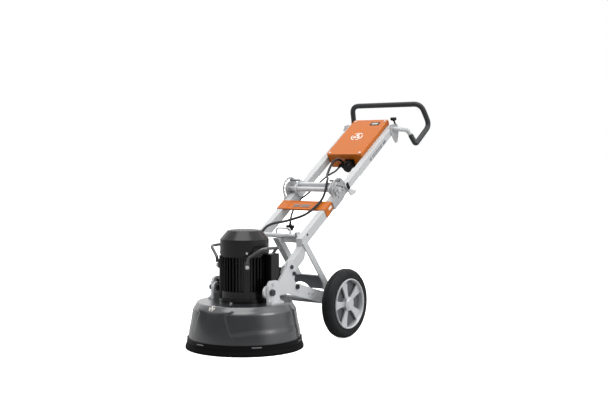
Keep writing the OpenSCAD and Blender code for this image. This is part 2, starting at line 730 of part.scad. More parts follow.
module control_box() color("orangered") place() on_rail() difference() {
    translate([0, box_s + 2, lid_n - box_depth]) linear_extrude(box_depth - lid_t)
        round_plate(box_w, lid_l - 4, 6);
    translate([-box_w / 2 + box_wall, box_s + 2 + box_wall, lid_n - box_depth + box_wall])
        cube([box_w - 2 * box_wall, lid_l - 4 - 2 * box_wall, box_depth]);
    for (p = [[motor_gland_x, motor_gland_n], [mains_gland_x, mains_gland_n]])
        translate([p[0], box_s + 6, p[1]]) rotate([90, 0, 0]) cylinder(r = 7, h = 6);
    for (c = [[stop_x, 11], [start_x, 8]]) translate([c[0], box_s + lid_l - 6, control_n])
        rotate([-90, 0, 0]) cylinder(r = c[1] + run, h = 8);
}

module box_lid() color("darkorange") place() on_rail() difference() {
    translate([0, box_s, lid_n - lid_t]) linear_extrude(lid_t) round_plate(lid_w, lid_l, 7);
    translate([-lid_w / 2 + 3, box_s + 3, lid_n - lid_t - 1]) cube([lid_w - 6, lid_l - 6, lid_t - 1]);
    translate([13, box_s + lid_l - 50, lid_n - 1.5]) cube([52, 28, 5]);
    for (p = lid_screws) translate([p[0], p[1], 0]) cylinder(r = 3, h = 30);
}

module upper_bolts() color("silver") place() on_rail() {
    for (p = lid_screws) translate([p[0], p[1], 0]) {
        translate([0, 0, lid_n - 6]) cylinder(r = 3, h = 6);
        translate([0, 0, lid_n]) cylinder(r = 5.5, h = 2);
    }
    rod_x(upper_out, lever_x + 8, lever_s, lever_n, 5);
    rod_x(lever_x + 6.5, lever_x + 9.5, lever_s, lever_n, 8);
    mirror([1, 0, 0]) translate([upper_out - 8.5, screw_s, -12]) cylinder(r = 8, h = 6, $fn = 6);
}

// Panel inlet for the supply: flange and an angled socket body.
module inlet_at() translate([inlet_x, box_s + 2, inlet_n]) rotate([90, 0, 0]) children();
module power_inlet() color("black") place() on_rail() inlet_at() {
    translate([-23, -23, 0]) cube([46, 46, 6]);
    difference() {
        translate([0, 0, 5]) cylinder(r = 21, h = 34);
        translate([0, 0, 9]) cylinder(r = 18, h = 40);
    }
    for (turn = [90, 210, 330]) rotate([0, 0, turn]) translate([9, 0, 8]) cylinder(r = 2.4, h = 16);
    for (x = [-8, 4]) translate([x, 18, 30]) cube([4, 12, 9]);
    rod_x(-8, 8, cap_y, cap_z, 2);
}

// Sprung cap hinged above the inlet's mouth.
module inlet_cap() color("black") place() on_rail() inlet_at() difference() {
    union() {
        translate([0, 0, 39.3]) cylinder(r = 22, h = 5);
        translate([-3.7, 18, 39.3]) cube([7.4, 11.5, 5]);
        translate([-3.7, cap_y - 3.5, cap_z]) cube([7.4, 7, 9]);
        rod_x(-3.7, 3.7, cap_y, cap_z, 3.5);
    }
    rod_x(-5, 5, cap_y, cap_z, 2 + run);
}

// Elbow gland of the motor cable and straight gland of the supply lead.
module cable_glands() color("black") place() on_rail() {
    translate([motor_gland_x, box_s + 2, motor_gland_n]) rotate([90, 0, 0]) {
        translate([0, 0, -4]) cylinder(r = 7, h = 5);
        cylinder(r = gland_r, h = 5, $fn = 6);
        cylinder(r = 7.5, h = 17);
    }
    translate([motor_gland_x, box_s - 7.5, motor_gland_n]) cylinder(r = 7.5, h = 16.5);
    translate([mains_gland_x, box_s + 2, mains_gland_n]) rotate([90, 0, 0]) {
        translate([0, 0, -4]) cylinder(r = 7, h = 5);
        cylinder(r = gland_r, h = 5, $fn = 6);
        cylinder(r1 = 7.5, r2 = 5.5, h = 18);
    }
}

// Clamp cheeks on the rails' top ends, each with the block that its screw pulls on.
module handle_clamps() color("silver") place() both_sides() difference() {
    union() {
        plate_x(upper_out, 5) difference() {
            polygon([[936, 936], [968, 944], [990, 934], [1010, 922], [1004, 884], [998, 856], [982, 852],
                [960, 874], [938, 900]]);
            translate([bow_y, bow_z]) circle(r = bar_r + run);
        }
        on_rail() translate([screw_x - 12, screw_s - 16, -38]) cube([upper_out - screw_x + 12.1, 30, 26]);
    }
    on_rail() translate([screw_x, screw_s, -31]) cylinder(r = 4 + run, h = 60);
}

// T-screw of the right-hand clamp.
module clamp_lever() color("black") place() on_rail() translate([screw_x, screw_s, 0]) {
    translate([0, 0, -30]) cylinder(r = 4, h = 46);
    translate([0, 0, 14]) cylinder(r = 7, h = 12);
    translate([-14, -5, 18]) cube([28, 10, 12]);
}

// Bar that slides into the notches of the fold plates.
module lock_pins() color("dimgray") place() both_sides() on_rail() at_fold(lock_turn)
    rod_x(upper_in - ear_t - 6, rail_out + fold_plate_t + 0.5, lock_path_r, 0, lock_pin_r);

// Release lever of the fold lock, on the right rail's outer side.
module lock_lever() color("gainsboro") place() on_rail() plate_x(lever_x, 6)
    translate([lever_s, lever_n]) difference() {
        polygon(concat([[-14, 26], [-2, 24]], arc(0, 0, 9, 35, -25, 4), arc(36, -40, 9, 50, -115, 6),
            [[3, -40]], arc(0, 0, 9, 205, 165, 3)));
        circle(r = 5 + run);
    }

// ---------------------------------------------------------------- handle

bow_side = rounded(bow_half, bow_trims);
bow_full = concat(bow_side, [for (i = [len(bow_side) - 2 : -1 : 0])
    [-bow_side[i][0], bow_side[i][1], bow_side[i][2]]]);

module handle_bar() color("gainsboro") place() sweep_tube(bow_full, bar_r, bar_r - bar_wall, 16, [0, 0, 1]);
bow_across = side_directions(bow_full, [0, 0, 1]);
grip_first = bow_across[grip_skip];
module handle_grip() color("black") place() sweep_tube(
    [for (i = [grip_skip : len(bow_full) - 1 - grip_skip]) bow_full[i]], grip_r, bar_r, 16, grip_first);

// Controls on the box's upper end, facing the operator.
module control_at(x) on_rail() translate([x, box_s + lid_l - 12, control_n]) rotate([-90, 0, 0]) children();
module stop_button() color("red") place() control_at(stop_x) {
    cylinder(r = 11, h = 19);
    translate([0, 0, 18]) cylinder(r = 18, h = 12);
}
module start_button() color("green") place() control_at(start_x) cylinder(r = 8, h = 17);

// ---------------------------------------------------------------- cables

module motor_cable() color("black") place() sweep(motor_cable_pts, motor_cable_r, 10, [1, 0, 0]);
module mains_lead() color("black") place() sweep(mains_pts, mains_r, 10, [1, 0, 0]);
module mains_plug() color("black") place() translate([-50, 381, 492]) mirror([0, 0, 1]) {
    cylinder(r1 = 5, r2 = 7, h = 12);
    translate([-17, -9, 11.9]) cube([34, 18, 14]);
    translate([0, 0, 25]) cylinder(r = 13, h = 11);
}

lower_rail(-1);  // lower_rail_left
lower_rail(1);  // lower_rail_right
side_plate(-1);  // side_plate_left
side_plate(1);  // side_plate_right
frame_braces();
front_cross_member();
rear_cross_member();
bridge_cover();
fold_plates();
axle();
wheel_bearings();
chassis_bolts();
tyre(-1);  // tyre_left
tyre(1);  // tyre_right
wheel_rim(-1);  // wheel_rim_left
wheel_rim(1);  // wheel_rim_right
shroud_cover();
planet_housing();
motor_housing();
motor_stator();
motor_end_shields();
head_bearings();
fan_cowl();
terminal_box();
lifting_handles();
ear_plates();
dust_port();
head_bolts();
dust_skirt();
motor_shaft();
cooling_fan();
planet_carrier();
spindle_bearings();
planet_spindle(0);  // planet_spindle_1
planet_spindle(1);  // planet_spindle_2
planet_spindle(2);  // planet_spindle_3
grinding_disc(0);  // grinding_disc_1
grinding_disc(1);  // grinding_disc_2
grinding_disc(2);  // grinding_disc_3
upper_rail(-1);  // upper_rail_left
upper_rail(1);  // upper_rail_right
fold_ears();
fold_tubes();
control_box();
box_lid();
upper_bolts();
power_inlet();
inlet_cap();
cable_glands();
handle_clamps();
clamp_lever();
lock_pins();
lock_lever();
handle_bar();
handle_grip();
stop_button();
start_button();
motor_cable();
mains_lead();
mains_plug();
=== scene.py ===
"""Looks of the walk-behind concrete grinder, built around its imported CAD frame.

Lengths that describe the machine are millimetres in its own layout: x across, y back from the
grinding head's axis, z up from the floor. spot() and rail_spot() turn them into the row frame.
"""

import math

import bmesh
import bpy
from mathutils import Matrix, Vector


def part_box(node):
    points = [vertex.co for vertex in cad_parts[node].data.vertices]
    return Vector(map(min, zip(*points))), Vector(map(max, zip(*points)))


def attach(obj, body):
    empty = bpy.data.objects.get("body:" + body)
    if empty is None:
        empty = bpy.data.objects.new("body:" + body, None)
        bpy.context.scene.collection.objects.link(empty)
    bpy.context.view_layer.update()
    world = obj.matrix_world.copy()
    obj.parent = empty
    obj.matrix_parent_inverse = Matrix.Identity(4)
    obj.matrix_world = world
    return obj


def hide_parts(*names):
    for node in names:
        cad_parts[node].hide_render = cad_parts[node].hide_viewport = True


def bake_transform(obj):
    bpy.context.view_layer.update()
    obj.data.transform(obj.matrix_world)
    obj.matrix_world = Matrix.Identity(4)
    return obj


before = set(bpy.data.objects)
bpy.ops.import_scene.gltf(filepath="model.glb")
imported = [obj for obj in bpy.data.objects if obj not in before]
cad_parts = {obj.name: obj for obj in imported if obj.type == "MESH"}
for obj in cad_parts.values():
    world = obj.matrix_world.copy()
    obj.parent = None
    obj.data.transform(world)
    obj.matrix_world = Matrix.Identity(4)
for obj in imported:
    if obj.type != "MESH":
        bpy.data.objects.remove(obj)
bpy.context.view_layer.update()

# ------------------------------------------------------------------ layout

MM = 0.001
AXLE_Y = 411
AXLE_Z = 150
RAIL_TILT = math.radians(34.4)
RAIL_Y, RAIL_Z = 475, 600    # where measures along the rails start
FOLD_S, FOLD_N = 36, 22      # the fold joint, along the rails and out of their front face
LID_N = 19                   # the lid's top, out of the rails' front face
BOX_START = 320              # the control box's lower end, along the rails
RAIL_OUT, UPPER_OUT = 130, 129
WHEEL_OUT = 254


def middle(node):
    """Middle of a CAD node's box."""
    low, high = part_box(node)
    return (low + high) / 2


SHIFT = AXLE_Y * MM - middle("axle").y


def spot(x, y, z):
    """A point of the layout, in the row frame."""
    return Vector((x * MM, y * MM - SHIFT, z * MM))


def rail_spot(x, s, n):
    """A point given across, along and out of the upper rails' front face."""
    along, out = math.cos(RAIL_TILT), math.sin(RAIL_TILT)
    return spot(x, RAIL_Y + s * along - n * out, RAIL_Z + s * out + n * along)


def axes_at(origin, x_axis, z_axis):
    """Matrix of a place whose local z points along z_axis and local x towards x_axis."""
    z = Vector(z_axis).normalized()
    y = z.cross(Vector(x_axis)).normalized()
    x = y.cross(z)
    return Matrix.Translation(origin) @ Matrix((x, y, z)).transposed().to_4x4()


RAIL_ALONG = Vector((0, math.cos(RAIL_TILT), math.sin(RAIL_TILT)))
RAIL_FACE = Vector((0, -math.sin(RAIL_TILT), math.cos(RAIL_TILT)))
RIGHT = Vector((1, 0, 0))
UP = Vector((0, 0, 1))


def rail_frame(x, s, n):
    """Place with local x across, y along the rail and z out of its face."""
    return axes_at(rail_spot(x, s, n), RIGHT, RAIL_FACE)


# ------------------------------------------------------------------ camera

CAMERA_TURN = math.radians(36.23)
CAMERA_DIP = math.radians(2.584)
camera_data = bpy.data.cameras.new("camera")
camera_data.sensor_width = 36
camera_data.lens = 59.8
camera = bpy.data.objects.new("camera", camera_data)
camera.location = spot(2657.7, -3211.1, 784.1)
camera.rotation_euler = (math.pi / 2 - CAMERA_DIP, 0, CAMERA_TURN)
bpy.context.scene.collection.objects.link(camera)
bpy.context.scene.camera = camera

# ------------------------------------------------------------------ materials


def linear(red, green, blue):
    """A colour given from 0 to 255 as the eye sees it, as linear values."""
    def one(c):
        c /= 255
        return c / 12.92 if c <= 0.04045 else ((c + 0.055) / 1.055) ** 2.4
    return (one(red), one(green), one(blue), 1)


def add(nodes, kind, **values):
    """A new shader node with its settings."""
    node = nodes.new("ShaderNode" + kind)
    for name, value in values.items():
        setattr(node, name, value)
    return node


def noise(mat, scale, detail=4, stretch=(1, 1, 1)):
    """Noise in the object's own space, stretched along its axes."""
    nodes, links = mat.node_tree.nodes, mat.node_tree.links
    coords = add(nodes, "TexCoord")
    mapping = add(nodes, "Mapping")
    mapping.inputs["Scale"].default_value = stretch
    texture = add(nodes, "TexNoise")
    texture.inputs["Scale"].default_value = scale
    texture.inputs["Detail"].default_value = detail
    links.new(coords.outputs["Object"], mapping.inputs["Vector"])
    links.new(mapping.outputs["Vector"], texture.inputs["Vector"])
    return texture.outputs["Fac"]


def spread(owner, value, low, high, to_low, to_high, **values):
    """The value mapped from one range to another and held inside it."""
    node = add(owner.node_tree.nodes, "MapRange", **values)
    for name, number in (("From Min", low), ("From Max", high), ("To Min", to_low), ("To Max", to_high)):
        node.inputs[name].default_value = number
    owner.node_tree.links.new(value, node.inputs["Value"])
    return node.outputs["Result"]


def mix(mat, factor, first, second):
    """Two colours mixed by a factor; each is a colour or a socket."""
    node = add(mat.node_tree.nodes, "Mix", data_type="RGBA")
    mat.node_tree.links.new(factor, node.inputs["Factor"])
    for name, colour in (("A", first), ("B", second)):
        socket = [s for s in node.inputs if s.name == name and s.type == "RGBA"][0]
        if isinstance(colour, tuple):
            socket.default_value = colour
        else:
            mat.node_tree.links.new(colour, socket)
    return [s for s in node.outputs if s.type == "RGBA"][0]


def scaled(colour, share):
    """The colour with its brightness multiplied."""
    return tuple(c * share for c in colour[:3]) + (1,)


def surface(name, colour, rough, metal=0.0, tone=0.12, patch=9, grain=900, depth=0.00004, round_by=0.0006,
            wear=None, dust=None, stretch=(1, 1, 1), coat=0.0, gloss=0.5):
    """A material with patches of tone, a fine grain, rounded edges, worn edges and settled dust."""
    mat = bpy.data.materials.new(name)
    mat.use_nodes = True
    nodes, links = mat.node_tree.nodes, mat.node_tree.links
    shader = nodes["Principled BSDF"]
    shader.inputs["Metallic"].default_value = metal
    shader.inputs["Coat Weight"].default_value = coat
    shader.inputs["Specular IOR Level"].default_value = gloss
    shader.inputs["Coat Roughness"].default_value = 0.12
    patches = noise(mat, patch, 5)
    fine = noise(mat, grain, 2, stretch)
    paint = mix(mat, spread(mat, patches, 0.35, 0.65, 0, 1), scaled(colour, 1 - tone),
                scaled(colour, 1 + tone))
    paint = mix(mat, spread(mat, fine, 0.3, 0.7, 0, 0.35), paint, scaled(colour, 1 - 2 * tone))
    bevel = add(nodes, "Bevel", samples=4)
    bevel.inputs["Radius"].default_value = round_by
    if wear is not None:
        geometry = add(nodes, "NewGeometry")
        turn = add(nodes, "VectorMath", operation="DOT_PRODUCT")
        links.new(bevel.outputs["Normal"], turn.inputs[0])
        links.new(geometry.outputs["Normal"], turn.inputs[1])
        edge = spread(mat, turn.outputs["Value"], 0.86, 0.97, 1, 0)
        patchy = spread(mat, noise(mat, 60, 6), 0.56, 0.72, 0, 0.5)
        both = add(nodes, "Math", operation="MULTIPLY")
        links.new(edge, both.inputs[0])
        links.new(patchy, both.inputs[1])
        paint = mix(mat, both.outputs["Value"], paint, wear)
    if dust is not None:
        paint = mix(mat, spread(mat, noise(mat, 22, 8), 0.5, 0.85, 0, 0.35), paint, dust)
    links.new(paint, shader.inputs["Base Color"])
    links.new(spread(mat, patches, 0.3, 0.7, rough * 0.85, rough * 1.15), shader.inputs["Roughness"])
    bump = add(nodes, "Bump")
    bump.inputs["Strength"].default_value = 0.5
    bump.inputs["Distance"].default_value = depth
    links.new(fine, bump.inputs["Height"])
    links.new(bevel.outputs["Normal"], bump.inputs["Normal"])
    links.new(bump.outputs["Normal"], shader.inputs["Normal"])
    return mat


BARE = linear(168, 168, 166)
M = {
    "rail": surface("rail_paint", linear(197, 199, 200), 0.4, tone=0.02, wear=BARE, gloss=0.4),
    "plate": surface("plate_paint", linear(206, 208, 210), 0.32, tone=0.03, wear=BARE, depth=0.00003),
    "orange": surface("orange_paint", linear(197, 103, 16), 0.36, tone=0.03, wear=linear(150, 70, 30),
                      gloss=0.3),
    "zinc": surface("zinc_plate", linear(214, 215, 217), 0.3, metal=0.6, tone=0.06, grain=500,
                    stretch=(1, 8, 1)),
    "steel": surface("machined_steel", linear(150, 151, 153), 0.28, metal=1, tone=0.08, grain=1400,
                     stretch=(6, 1, 1)),
    "shroud": surface("shroud_paint", linear(44, 45, 48), 0.24, tone=0.03, gloss=0.95, coat=0.5),
    "band": surface("band_rubber", linear(12, 12, 14), 0.5, tone=0.05, gloss=0.1),
    "black_paint": surface("black_paint", linear(9, 9, 10), 0.25, tone=0.12, wear=linear(50, 50, 50),
                           gloss=0.45),
    "cast": surface("cast_iron", linear(104, 104, 106), 0.62, metal=0.4, tone=0.12, grain=260, depth=0.0002),
    "copper": surface("windings", linear(170, 92, 52), 0.35, metal=0.7, tone=0.2, grain=700,
                      stretch=(1, 1, 0.1)),
    "black_plastic": surface("black_plastic", linear(8, 8, 9), 0.45, tone=0.1, grain=1500, depth=0.00006,
                             gloss=0.25),
    "tyre": surface("tyre_rubber", linear(28, 29, 31), 0.6, tone=0.12, grain=420, depth=0.0001,
                    dust=linear(60, 59, 58), gloss=0.2),
    "rubber": surface("black_rubber", linear(9, 9, 10), 0.6, tone=0.2, grain=380, depth=0.0001,
                      gloss=0.08),
    "wheel": surface("cast_wheel", linear(206, 208, 210), 0.36, metal=0.4, tone=0.05, grain=600),
    # The wheel web's dark grey is painted shade: the recess behind the spokes is the same light cast wheel
    # in shadow.
    "painted_shade_web": surface("wheel_web_painted_shade", linear(96, 98, 101), 0.5, metal=0.2, tone=0.08, grain=600, gloss=0.3),
    "red": surface("red_plastic", linear(186, 22, 18), 0.3, tone=0.05),
    "green": surface("green_plastic", linear(30, 120, 50), 0.3, tone=0.05),
    "grip": surface("grip_rubber", linear(46, 48, 51), 0.42, tone=0.06, grain=700, depth=0.0001, gloss=0.4),
    "cable": surface("cable_rubber", linear(30, 31, 33), 0.42, tone=0.1, grain=900, depth=0.00005,
                     gloss=0.3),
    "print_grey": surface("print_grey", linear(132, 134, 138), 0.5, tone=0.03),
    "print_white": surface("print_white", linear(236, 232, 226), 0.45, tone=0.02),
    "print_label": surface("label_orange", linear(240, 152, 108), 0.4, tone=0.03),
    "glass": surface("display_glass", linear(60, 66, 64), 0.12, tone=0.05, coat=0.5),
    "disc": surface("fold_disc", linear(188, 189, 191), 0.32, metal=0.5, tone=0.05, grain=500),
    "bolt": surface("dark_bolt", linear(74, 75, 78), 0.3, metal=0.8, tone=0.08),
    # Darker, bluer copy of the plate paint for the rear cross member: painted shade, since that part is
    # light paint standing in shadow.
    "shade": surface("plate_painted_shade", linear(126, 129, 137), 0.34, metal=0.2, tone=0.04, wear=BARE),
}

NODE_LOOKS = {
    "rail": ["lower_rail_left", "lower_rail_right", "upper_rail_left", "upper_rail_right", "frame_braces"],
    "plate": ["side_plate_left", "side_plate_right", "lock_lever", "ear_plates", "fold_ears"],
    # The rear cross member takes the painted-shade copy of the plate paint.
    "shade": ["rear_cross_member"],
    "bolt": ["chassis_bolts"],
    "orange": ["bridge_cover", "control_box", "box_lid"],
    "disc": ["fold_plates"],
    "zinc": ["front_cross_member", "fold_tubes", "head_bolts", "upper_bolts", "handle_clamps"],
    "steel": ["axle", "wheel_bearings", "head_bearings", "spindle_bearings", "motor_shaft",
              "planet_spindle_1", "planet_spindle_2", "planet_spindle_3", "lock_pins"],
    "black_paint": ["motor_housing", "motor_end_shields", "fan_cowl", "terminal_box"],
    "cast": ["planet_housing", "planet_carrier", "grinding_disc_1", "grinding_disc_2", "grinding_disc_3"],
    "copper": ["motor_stator"],
    "black_plastic": ["cooling_fan", "dust_port", "power_inlet", "inlet_cap", "cable_glands", "clamp_lever",
                      "mains_plug"],
    "wheel": ["wheel_rim_left", "wheel_rim_right"],
    "tyre": ["tyre_left", "tyre_right"],
    "red": ["stop_button"],
    "green": ["start_button"],
}
for look, names in NODE_LOOKS.items():
    for node_name in names:
        for material_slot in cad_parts[node_name].material_slots:
            material_slot.material = M[look]

# ------------------------------------------------------------------ building


def piece(name, mesh, look, body, place=None, replaces=(), crease=35):
    """An object for a mesh, with its look, its smooth shading and the CAD body it rides on."""
    mesh.materials.append(M[look])
    mesh.polygons.foreach_set("use_smooth", [True] * len(mesh.polygons))
    mesh.set_sharp_from_angle(angle=math.radians(crease))
    obj = bpy.data.objects.new(name, mesh)
    bpy.context.scene.collection.objects.link(obj)
    if place is not None:
        obj.matrix_world = place
    if body is not None:
        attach(obj, body)
    if replaces:
        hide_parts(*replaces)
    return obj


def mesh_of(name, points, faces):
    """A mesh from its points and faces."""
    mesh = bpy.data.meshes.new(name)
    mesh.from_pydata([tuple(p) for p in points], [], faces)
    mesh.validate()
    return mesh


def finished(name, bm):
    """The mesh of a bmesh, with its normals outward."""
    bmesh.ops.recalc_face_normals(bm, faces=bm.faces)
    mesh = bpy.data.meshes.new(name)
    bm.to_mesh(mesh)
    bm.free()
    return mesh


def lathe(name, profile, steps=192, shape=None):
    """Closed profile of (radius, height) turned round z; shape(angle, r, z) may change a radius."""
    count = len(profile)
    points = []
    for i in range(steps):
        angle = 2 * math.pi * i / steps
        for r, z in profile:
            radius = (shape(angle, r, z) if shape else r) * MM
            points.append((radius * math.cos(angle), radius * math.sin(angle), z * MM))
    faces = []
    for i in range(steps):
        for k in range(count):
            a, b = i * count + k, i * count + (k + 1) % count
            c, d = (i + 1) % steps * count + (k + 1) % count, (i + 1) % steps * count + k
            faces.append((a, d, c, b))
    mesh = mesh_of(name, points, faces)
    bm = bmesh.new()
    bm.from_mesh(mesh)
    bmesh.ops.remove_doubles(bm, verts=bm.verts, dist=1e-6)
    return finished(name, bm)


def smooth_path(points, step=0.004):
    """Points along a Catmull-Rom curve through the given ones, evenly close together."""
    ends = [2 * points[0] - points[1]] + list(points) + [2 * points[-1] - points[-2]]
    fine = []
    for a, b, c, d in zip(ends, ends[1:], ends[2:], ends[3:]):
        parts = max(2, round((c - b).length / step))
        for k in range(parts):
            t = k / parts
            fine.append(0.5 * (2 * b + (c - a) * t + (2 * a - 5 * b + 4 * c - d) * t * t
                               + (3 * b - a - 3 * c + d) * t ** 3))
    return fine + [points[-1].copy()]


def evenly(points, step=0.004):
    """The path with its straight stretches cut into pieces about one step long."""
    fine = []
    for a, b in zip(points, points[1:]):
        parts = max(1, round((b - a).length / step))
        fine += [a.lerp(b, k / parts) for k in range(parts)]
    return fine + [points[-1]]


def tube(name, path, radius, sides=20, closed=True):
    """A round bar along a path; radius is a number or a function of the share of the way along."""
    size = radius if callable(radius) else (lambda share: radius)
    count = len(path)
    points, side = [], None
    for i, p in enumerate(path):
        way = (path[min(i + 1, count - 1)] - path[max(i - 1, 0)]).normalized()
        side = way.orthogonal() if side is None else side - way * side.dot(way)
        side.normalize()
        other = way.cross(side)
        for k in range(sides):
            a = 2 * math.pi * k / sides
            points.append(p + size(i / (count - 1)) * (math.cos(a) * side + math.sin(a) * other))
    faces = [(i * sides + k, i * sides + (k + 1) % sides, (i + 1) * sides + (k + 1) % sides,
              (i + 1) * sides + k) for i in range(count - 1) for k in range(sides)]
    if closed:
        faces.append(tuple(reversed(range(sides))))
        faces.append(tuple(range((count - 1) * sides, count * sides)))
    return mesh_of(name, points, faces)


def prism(name, outline, height, edge=0.0, segments=2):
    """A flat outline in mm raised along z, with its edges rounded by edge mm."""
    bm = bmesh.new()
    face = bm.faces.new([bm.verts.new((x * MM, y * MM, 0)) for x, y in outline])
    raised = bmesh.ops.extrude_face_region(bm, geom=[face])
    bmesh.ops.translate(bm, vec=(0, 0, height * MM),
                        verts=[v for v in raised["geom"] if isinstance(v, bmesh.types.BMVert)])
    if edge:
        sharp = [e for e in bm.edges if e.calc_face_angle(0) > math.radians(25)]
        bmesh.ops.bevel(bm, geom=sharp, offset=edge * MM, segments=segments, affect="EDGES", profile=0.6)
    return finished(name, bm)


def round_rect(width, height, radius, steps=5):
    """Outline of a rectangle about the origin with round corners."""
    points = []
    for turn, (sx, sy) in enumerate(((1, 1), (-1, 1), (-1, -1), (1, -1))):
        for k in range(steps + 1):
            a = math.pi / 2 * (turn + k / steps)
            points.append((sx * (width / 2 - radius) + radius * math.cos(a),
                           sy * (height / 2 - radius) + radius * math.sin(a)))
    return points


def circle(radius, steps=48):
    """Outline of a circle about the origin."""
    turns = [2 * math.pi * k / steps for k in range(steps)]
    return [(radius * math.cos(a), radius * math.sin(a)) for a in turns]


def joined(name, meshes):
    """One mesh from several (mesh, matrix) pairs."""
    bm = bmesh.new()
    for mesh, matrix in meshes:
        part = bmesh.new()
        part.from_mesh(mesh)
        part.transform(matrix)
        moved = bpy.data.meshes.new("part")
        part.to_mesh(moved)
        part.free()
        bm.from_mesh(moved)
        bpy.data.meshes.remove(moved)
    return finished(name, bm)


def smoothstep(low, high, value):
    """0 below low, 1 above high and smooth between."""
    t = min(max((value - low) / (high - low), 0), 1)
    return t * t * (3 - 2 * t)


# ------------------------------------------------------------------ cables

MOTOR_CABLE_RADIUS = 5.5
MAINS_RADIUS = 4
MOTOR_CABLE = [
    (-19, 748.7, 753.5), (-19, 743.3, 761.3), (-21, 734, 768.5), (-24, 718, 771.5), (-28, 700, 768),
    (-30, 684, 757), (-29, 668, 743), (-24, 648, 728), (-14, 626, 716), (-2, 602, 706),
    (14, 576, 698), (32, 552, 692), (50, 529, 687), (64, 507, 682.5), (74, 488, 669),
    (79, 474, 647), (82, 460, 625), (83, 443, 603), (84, 418, 584), (82, 391, 566),
    (74, 365, 548), (62, 343, 534), (46, 320, 523), (30, 296, 515), (18, 268, 508),
    (9, 240, 504), (-1, 212, 501), (-12, 184, 494), (-19, 161, 481), (-23, 143, 462),
    (-22, 130, 438), (-13, 121, 414), (8, 118, 393), (32, 116, 370), (32, 116, 345)]
CABLE_SPLIT = 20
MAINS_LEAD = [
    (-40, 750.8, 734.3), (-40, 743, 729), (-40, 730, 720.8), (-41, 712, 713), (-42, 690, 706),
    (-43, 664, 697), (-44, 638, 685), (-45, 612, 672), (-46, 586, 657), (-47, 560, 642),
    (-48, 535, 628), (-49, 512, 617), (-49, 490, 607), (-50, 467, 598), (-50, 447, 584.4),
    (-50, 426, 569.5), (-50, 407, 551), (-50, 393, 530), (-50, 384, 509), (-50, 381, 492)]


def cord_piece(name, path, radius, body_a, body_b, start, end, **facts):
    """A cord as a mesh tube along its path; one that runs between two bodies is left unattached, else it
    rides on body_a.
    """
    obj = piece(name, tube(name, path, radius * MM, 16), "cable", None)
    if body_b:
        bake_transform(obj)
    else:
        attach(obj, body_a)
    return obj


# The motor cable crosses two joints, so it is two pieces that meet on the chassis.
whole = [spot(*p) for p in MOTOR_CABLE]
upper_path = smooth_path(whole[:CABLE_SPLIT + 1])
lower_path = smooth_path(whole[CABLE_SPLIT:])
upper_cable = cord_piece("motor_cable_upper", upper_path, MOTOR_CABLE_RADIUS, "upper_frame", "chassis",
                         spot(0, 640, 720), spot(0, 420, 580), far_end="object", stiffness="medium",
                         lay="hanging")
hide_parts("motor_cable")
cord_piece("motor_cable_lower", lower_path, MOTOR_CABLE_RADIUS, "chassis", "head", spot(0, 380, 560),
           spot(0, 130, 440), far_end="object", stiffness="medium", lay="hanging")
mains_path = smooth_path([spot(*p) for p in MAINS_LEAD])
mains = cord_piece("mains_cable", mains_path, MAINS_RADIUS, "upper_frame", "chassis",
                   spot(0, 700, 705), spot(0, 430, 575), far_end="plug", stiffness="medium", lay="hanging",
                   with_pieces=[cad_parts["mains_plug"]])
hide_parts("mains_lead")

# ------------------------------------------------------------------ shroud and skirt

SHROUD_WALL = 4
SHROUD_CURVE = [
    (104, 190), (120, 190), (150, 190), (180, 190), (188, 190), (191, 190), (194, 189.6), (196.5, 188.5),
    (198.5, 187), (211.2, 173), (213, 170.4), (214.4, 167), (215.3, 163.6), (216, 160)]
SHOULDER_FOOT = SHROUD_CURVE[-1]
WALL_FOOT = (232, 42)
WALL_BULGE = 226.2
INSET = 2.6
SHOULDER_INSET = 6


def panel_edge(z):
    """Angle from the front, in degrees, where the inset side panel starts at this height."""
    if z > 160:
        return 17 + (z - 160) / 30 * 12
    return 17 + (160 - z) / 90 * 8


def shroud_radius(angle, r, z):
    """The side panels are set in behind the front bow, over a lower edge that climbs backwards."""
    if r < 196:
        return r
    from_front = abs((math.degrees(angle) + 90 + 180) % 360 - 180)
    ramp = 7 if z > 163 else 1.6
    across = smoothstep(0, ramp, from_front - panel_edge(z))
    foot = 70 + 13 * smoothstep(24, 52, from_front)
    rise = smoothstep(-4, 24, z - foot)
    ease = 1 - smoothstep(180, 189, z)
    deep = INSET + (SHOULDER_INSET - INSET) * smoothstep(158, 172, z)
    return r - deep * across * rise * ease


def build_shroud():
    """The shroud's shell, open where the dust port passes its rear wall."""
    outer = list(SHROUD_CURVE)
    top_r, top_z = SHOULDER_FOOT
    foot_r, foot_z = WALL_FOOT
    wall_steps = 48
    for k in range(1, wall_steps + 1):
        t = k / wall_steps
        r = (1 - t) ** 2 * top_r + 2 * t * (1 - t) * WALL_BULGE + t * t * foot_r
        outer.append((r, top_z + t * (foot_z - top_z)))
    inner = [(r - SHROUD_WALL, z - (SHROUD_WALL if z > 180 else 0)) for r, z in reversed(outer[::3])]
    mesh = lathe("shroud", outer + inner, 480, shroud_radius)
    obj = piece("shroud_shell", mesh, "shroud", None, Matrix.Translation(spot(0, 0, 0)),
                crease=28)
    port = bpy.data.objects.new("port_cutter", prism("port_cutter", circle(25), 60))
    port.matrix_world = axes_at(spot(0, 200, 86), RIGHT, (0, 1, 0))
    bpy.context.scene.collection.objects.link(port)
    cut = obj.modifiers.new("port", "BOOLEAN")
    cut.object = port
    cut.solver = "EXACT"
    shaped = bpy.data.meshes.new_from_object(obj.evaluated_get(bpy.context.evaluated_depsgraph_get()))
    obj.modifiers.clear()
    obj.data = shaped
    bpy.data.objects.remove(port)
    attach(obj, "head")
    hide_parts("shroud_cover")


build_shroud()


